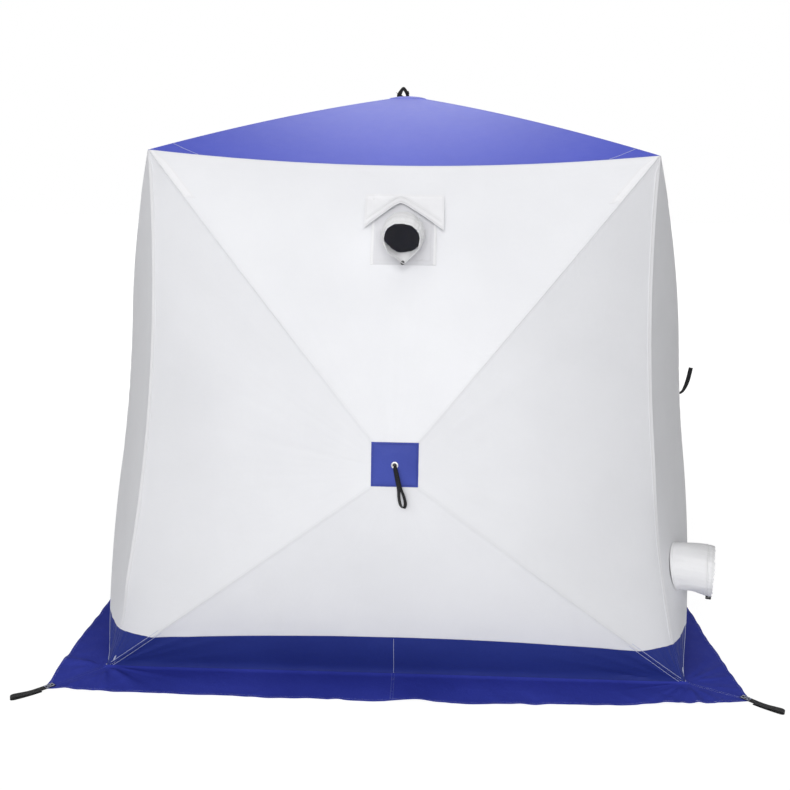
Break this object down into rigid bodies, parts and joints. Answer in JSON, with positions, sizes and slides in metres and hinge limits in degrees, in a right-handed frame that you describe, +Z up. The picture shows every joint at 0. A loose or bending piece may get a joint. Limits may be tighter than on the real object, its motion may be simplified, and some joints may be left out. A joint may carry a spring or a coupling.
{
  "type": "pop-up ice fishing hut",
  "caption": "Cube-shaped pop-up ice fishing shelter of quilted cloth, with bowed rods on hubs, vent sleeves and a snow skirt.",
  "frame": {"origin": "on the ground below the roof hub, at the middle of the floor", "axes": "+Z up, -Y out of the front wall with the high vent, +X to the right seen from the front"},
  "size_m": [2.6554, 2.6554, 2.1656],
  "materials": {
    "wall_cloth": "satin",
    "sleeve_cloth": "satin",
    "blue_cloth": "satin",
    "pocket_cloth": "matte",
    "webbing": "matte",
    "rod": "satin",
    "hub_plastic": "matte",
    "grommet": "satin",
    "cord_lock": "matte",
    "zip": "matte",
    "slider": "satin"
  },
  "bodies": {
    "root": {"front_wall": "wall_cloth", "front_ground_band": "blue_cloth", "front_snow_skirt": "blue_cloth", "front_hub": "hub_plastic", "front_rods": "rod", "front_hub_patch": "blue_cloth", "front_pull_loop": "webbing", "right_wall": "wall_cloth", "right_ground_band": "blue_cloth", "right_snow_skirt": "blue_cloth", "right_hub": "hub_plastic", "right_rods": "rod", "right_hub_patch": "blue_cloth", "right_pull_loop": "webbing", "rear_wall": "wall_cloth", "rear_ground_band": "blue_cloth", "rear_snow_skirt": "blue_cloth", "rear_hub": "hub_plastic", "rear_rods": "rod", "rear_hub_patch": "blue_cloth", "rear_pull_loop": "webbing", "left_wall": "wall_cloth", "left_ground_band": "blue_cloth", "left_snow_skirt": "blue_cloth", "left_hub": "hub_plastic", "left_rods": "rod", "left_hub_patch": "blue_cloth", "left_pull_loop": "webbing", "roof": "blue_cloth", "roof_hub": "hub_plastic", "roof_rods": "rod", "roof_hub_patch": "blue_cloth", "roof_pull_loop": "webbing", "upper_rod_pockets": "pocket_cloth", "lower_rod_pockets": "pocket_cloth", "hub_grommets": "grommet", "tie_down_loops": "webbing", "front_vent_patch": "wall_cloth", "front_vent_flap": "wall_cloth", "front_vent_sleeve": "sleeve_cloth", "side_vent_sleeve": "sleeve_cloth", "vent_cord_locks": "cord_lock", "rear_door_panel": "wall_cloth", "rear_door_zip": "zip", "rear_door_slider": "slider"}
  },
  "joints": []
}
